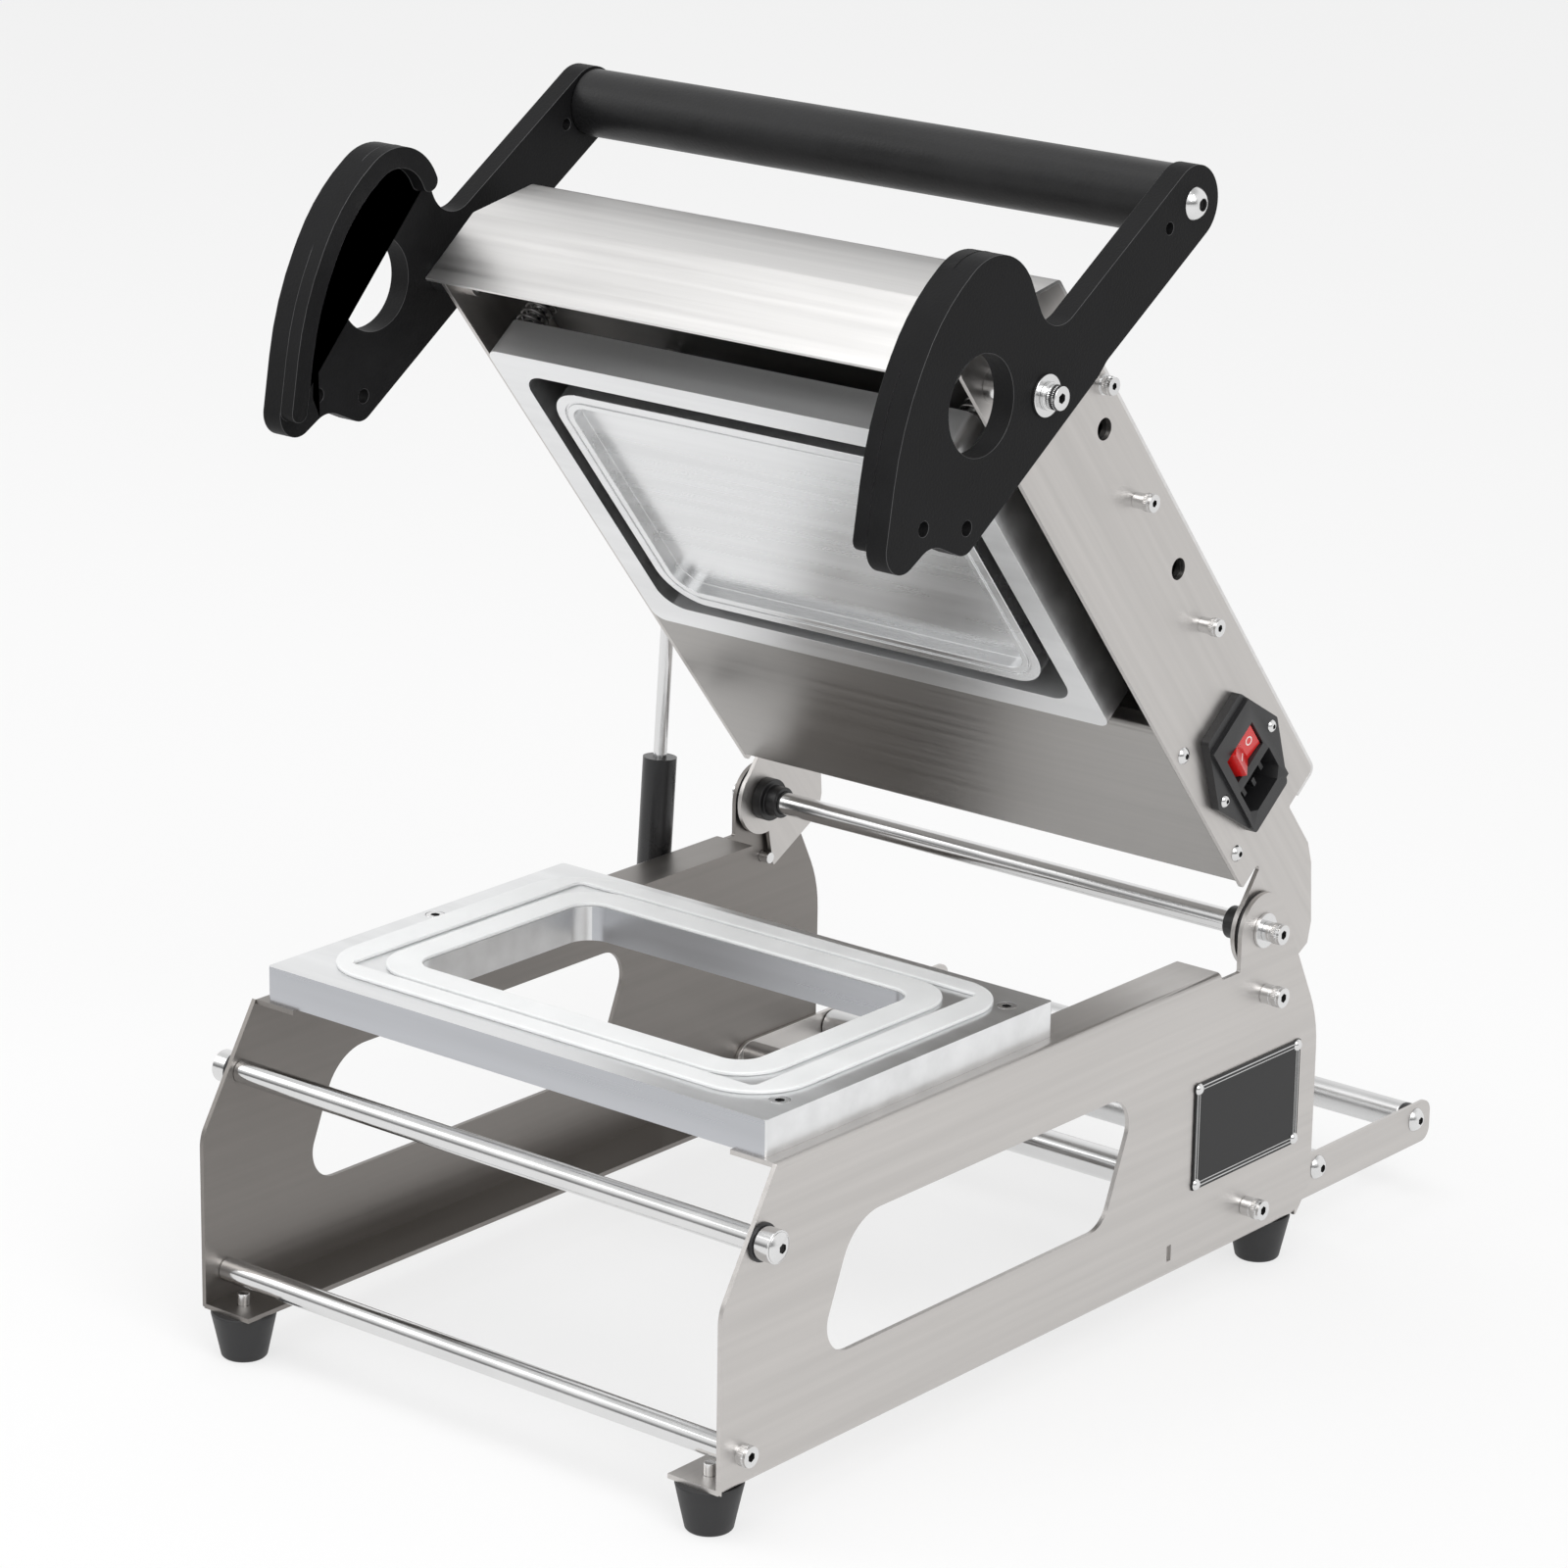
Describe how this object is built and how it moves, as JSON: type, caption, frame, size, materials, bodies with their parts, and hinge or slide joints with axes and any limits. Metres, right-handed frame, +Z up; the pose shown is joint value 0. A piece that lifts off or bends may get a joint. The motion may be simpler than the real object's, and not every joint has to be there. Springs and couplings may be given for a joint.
{
  "type": "manual tray sealer",
  "caption": "Hand operated tray sealer: bent steel base with an aluminium tray mould, hinged heated head with a gas strut, latch levers and rear film rollers.",
  "frame": {"origin": "on the ground, midway between the four feet", "axes": "+X to the machine's right as its user sees it from the front, +Y to the rear, +Z up"},
  "size_m": [0.3326, 0.4895, 0.4944],
  "materials": {
    "right_side_plate": "brushed stainless sheet",
    "left_side_plate": "brushed stainless sheet",
    "lower_mould": "fine milled aluminium",
    "mould_gaskets": "pale silicone rubber",
    "mould_screws": "bright plated steel",
    "feet": "matt black rubber",
    "foot_screws": "bright plated steel",
    "bolt_spacers": "bright plated steel",
    "upper_front_rod": "bright plated steel",
    "lower_front_rod": "bright plated steel",
    "frame_bolts": "bright plated steel",
    "latch_washers": "matt black plastic",
    "latch_screws": "bright plated steel",
    "hinge_shaft": "bright plated steel",
    "hinge_washers": "bright plated steel",
    "hinge_spacers": "matt black plastic",
    "data_plate": "black fine textured powder coat",
    "data_plate_rivets": "bright plated steel",
    "rear_tie_rod": "bright plated steel",
    "right_film_arm": "brushed stainless sheet",
    "left_film_arm": "brushed stainless sheet",
    "film_roller_shafts": "bright plated steel",
    "film_roller_screws": "bright plated steel",
    "rear_roller_bushes": "matt black plastic",
    "strut_lower_stud": "bright plated steel",
    "right_head_plate": "brushed stainless sheet",
    "left_head_plate": "brushed stainless sheet",
    "top_cover": "brushed stainless sheet",
    "bottom_cover": "brushed stainless sheet",
    "cover_screws": "bright plated steel",
    "cover_bolts": "bright plated steel",
    "hinge_bushes": "matt black plastic",
    "carrier_plate": "brushed stainless sheet",
    "carrier_bolts": "bright plated steel",
    "power_inlet": "matt black plastic",
    "inlet_screws": "bright plated steel",
    "terminal_block": "pale moulded plastic",
    "inlet_leads": "matt black plastic",
    "strut_upper_stud": "bright plated steel",
    "lever_pivot_bolts": "bright plated steel",
    "lever_washers": "bright plated steel",
    "lever_spacers": "bright plated steel",
    "frame_springs": "bright plated steel",
    "plate_springs": "bright plated steel",
    "right_latch_roller": "bright plated steel",
    "left_latch_roller": "bright plated steel",
    "front_film_roller": "fine milled aluminium",
    "rear_film_roller": "fine milled aluminium",
    "strut_cylinder": "black fine textured powder coat",
    "strut_rod": "bright plated steel",
    "rocker_switch": "red translucent plastic",
    "pressing_frame": "fine milled aluminium",
    "frame_guide_bolts": "bright plated steel",
    "sealing_plate": "fine milled aluminium",
    "heater": "mineral filled metal sheath",
    "plate_guide_bolts": "bright plated steel",
    "right_lever": "black fine textured powder coat",
    "left_lever": "black fine textured powder coat",
    "handle_bar": "matt black plastic",
    "handle_screws": "bright plated steel"
  },
  "bodies": {
    "base": {"right_side_plate": "right_side_plate", "left_side_plate": "left_side_plate", "lower_mould": "lower_mould", "mould_gaskets": "mould_gaskets", "mould_screws": "mould_screws", "feet": "feet", "foot_screws": "foot_screws", "bolt_spacers": "bolt_spacers", "upper_front_rod": "upper_front_rod", "lower_front_rod": "lower_front_rod", "frame_bolts": "frame_bolts", "latch_washers": "latch_washers", "latch_screws": "latch_screws", "hinge_shaft": "hinge_shaft", "hinge_washers": "hinge_washers", "hinge_spacers": "hinge_spacers", "data_plate": "data_plate", "data_plate_rivets": "data_plate_rivets", "rear_tie_rod": "rear_tie_rod", "right_film_arm": "right_film_arm", "left_film_arm": "left_film_arm", "film_roller_shafts": "film_roller_shafts", "film_roller_screws": "film_roller_screws", "rear_roller_bushes": "rear_roller_bushes", "strut_lower_stud": "strut_lower_stud"},
    "head": {"right_head_plate": "right_head_plate", "left_head_plate": "left_head_plate", "top_cover": "top_cover", "bottom_cover": "bottom_cover", "cover_screws": "cover_screws", "cover_bolts": "cover_bolts", "hinge_bushes": "hinge_bushes", "carrier_plate": "carrier_plate", "carrier_bolts": "carrier_bolts", "power_inlet": "power_inlet", "inlet_screws": "inlet_screws", "terminal_block": "terminal_block", "inlet_leads": "inlet_leads", "strut_upper_stud": "strut_upper_stud", "lever_pivot_bolts": "lever_pivot_bolts", "lever_washers": "lever_washers", "lever_spacers": "lever_spacers", "frame_springs": "frame_springs", "plate_springs": "plate_springs"},
    "right_roller": {"right_latch_roller": "right_latch_roller"},
    "left_roller": {"left_latch_roller": "left_latch_roller"},
    "front_reel_roller": {"front_film_roller": "front_film_roller"},
    "rear_reel_roller": {"rear_film_roller": "rear_film_roller"},
    "strut_tube": {"strut_cylinder": "strut_cylinder"},
    "strut_piston": {"strut_rod": "strut_rod"},
    "switch": {"rocker_switch": "rocker_switch"},
    "press": {"pressing_frame": "pressing_frame", "frame_guide_bolts": "frame_guide_bolts"},
    "seal": {"sealing_plate": "sealing_plate", "heater": "heater", "plate_guide_bolts": "plate_guide_bolts"},
    "latch": {"right_lever": "right_lever", "left_lever": "left_lever", "handle_bar": "handle_bar", "handle_screws": "handle_screws"}
  },
  "joints": [
    {"name": "lid_hinge", "type": "hinge", "parent": "base", "child": "head", "pos_m": [0, 0.156, 0.1565], "axis": [1, 0, 0], "range_deg": [0, 51.5]},
    {"name": "latch_pivot", "type": "hinge", "parent": "head", "child": "latch", "pos_m": [0, -0.03489, 0.42058], "axis": [1, 0, 0], "range_deg": [-46, 86]},
    {"name": "right_roller_spin", "type": "hinge", "parent": "base", "child": "right_roller", "pos_m": [0.14235, -0.1686, 0.1165], "axis": [1, 0, 0], "continuous": true},
    {"name": "left_roller_spin", "type": "hinge", "parent": "base", "child": "left_roller", "pos_m": [-0.14235, -0.1686, 0.1165], "axis": [1, 0, 0], "continuous": true},
    {"name": "front_reel_spin", "type": "hinge", "parent": "base", "child": "front_reel_roller", "pos_m": [0, 0.2075, 0.0355], "axis": [1, 0, 0], "continuous": true},
    {"name": "rear_reel_spin", "type": "hinge", "parent": "base", "child": "rear_reel_roller", "pos_m": [0, 0.2835, 0.0355], "axis": [1, 0, 0], "continuous": true},
    {"name": "switch_rock", "type": "hinge", "parent": "head", "child": "switch", "pos_m": [0.1305, 0.13374, 0.2391], "axis": [0, 0.6225, -0.7826], "range_deg": [0, 22]},
    {"name": "press_slide", "type": "slide", "parent": "head", "child": "press", "axis": [0, 0.7826, 0.6225], "range_m": [0, 0.0103], "deforming": ["frame_springs"]},
    {"name": "seal_slide", "type": "slide", "parent": "head", "child": "seal", "axis": [0, 0.7826, 0.6225], "range_m": [0, 0.0104], "deforming": ["plate_springs"]},
    {"name": "strut_swing", "type": "hinge", "parent": "base", "child": "strut_tube", "pos_m": [-0.148, 0.0925, 0.046], "axis": [1, 0, 0], "range_deg": [0, 25.26]},
    {"name": "strut_stroke", "type": "slide", "parent": "strut_tube", "child": "strut_piston", "axis": [0, 0.0745, 0.9972], "range_m": [-0.07038, 0]}
  ],
  "couplings": [
    {"joint": "press_slide", "follows": "lid_hinge", "m_per_rad": 0.011459},
    {"joint": "seal_slide", "follows": "lid_hinge", "m_per_rad": 0.01157},
    {"joint": "strut_swing", "follows": "lid_hinge", "ratio": 0.49043},
    {"joint": "strut_stroke", "follows": "lid_hinge", "m_per_rad": -0.0783}
  ]
}
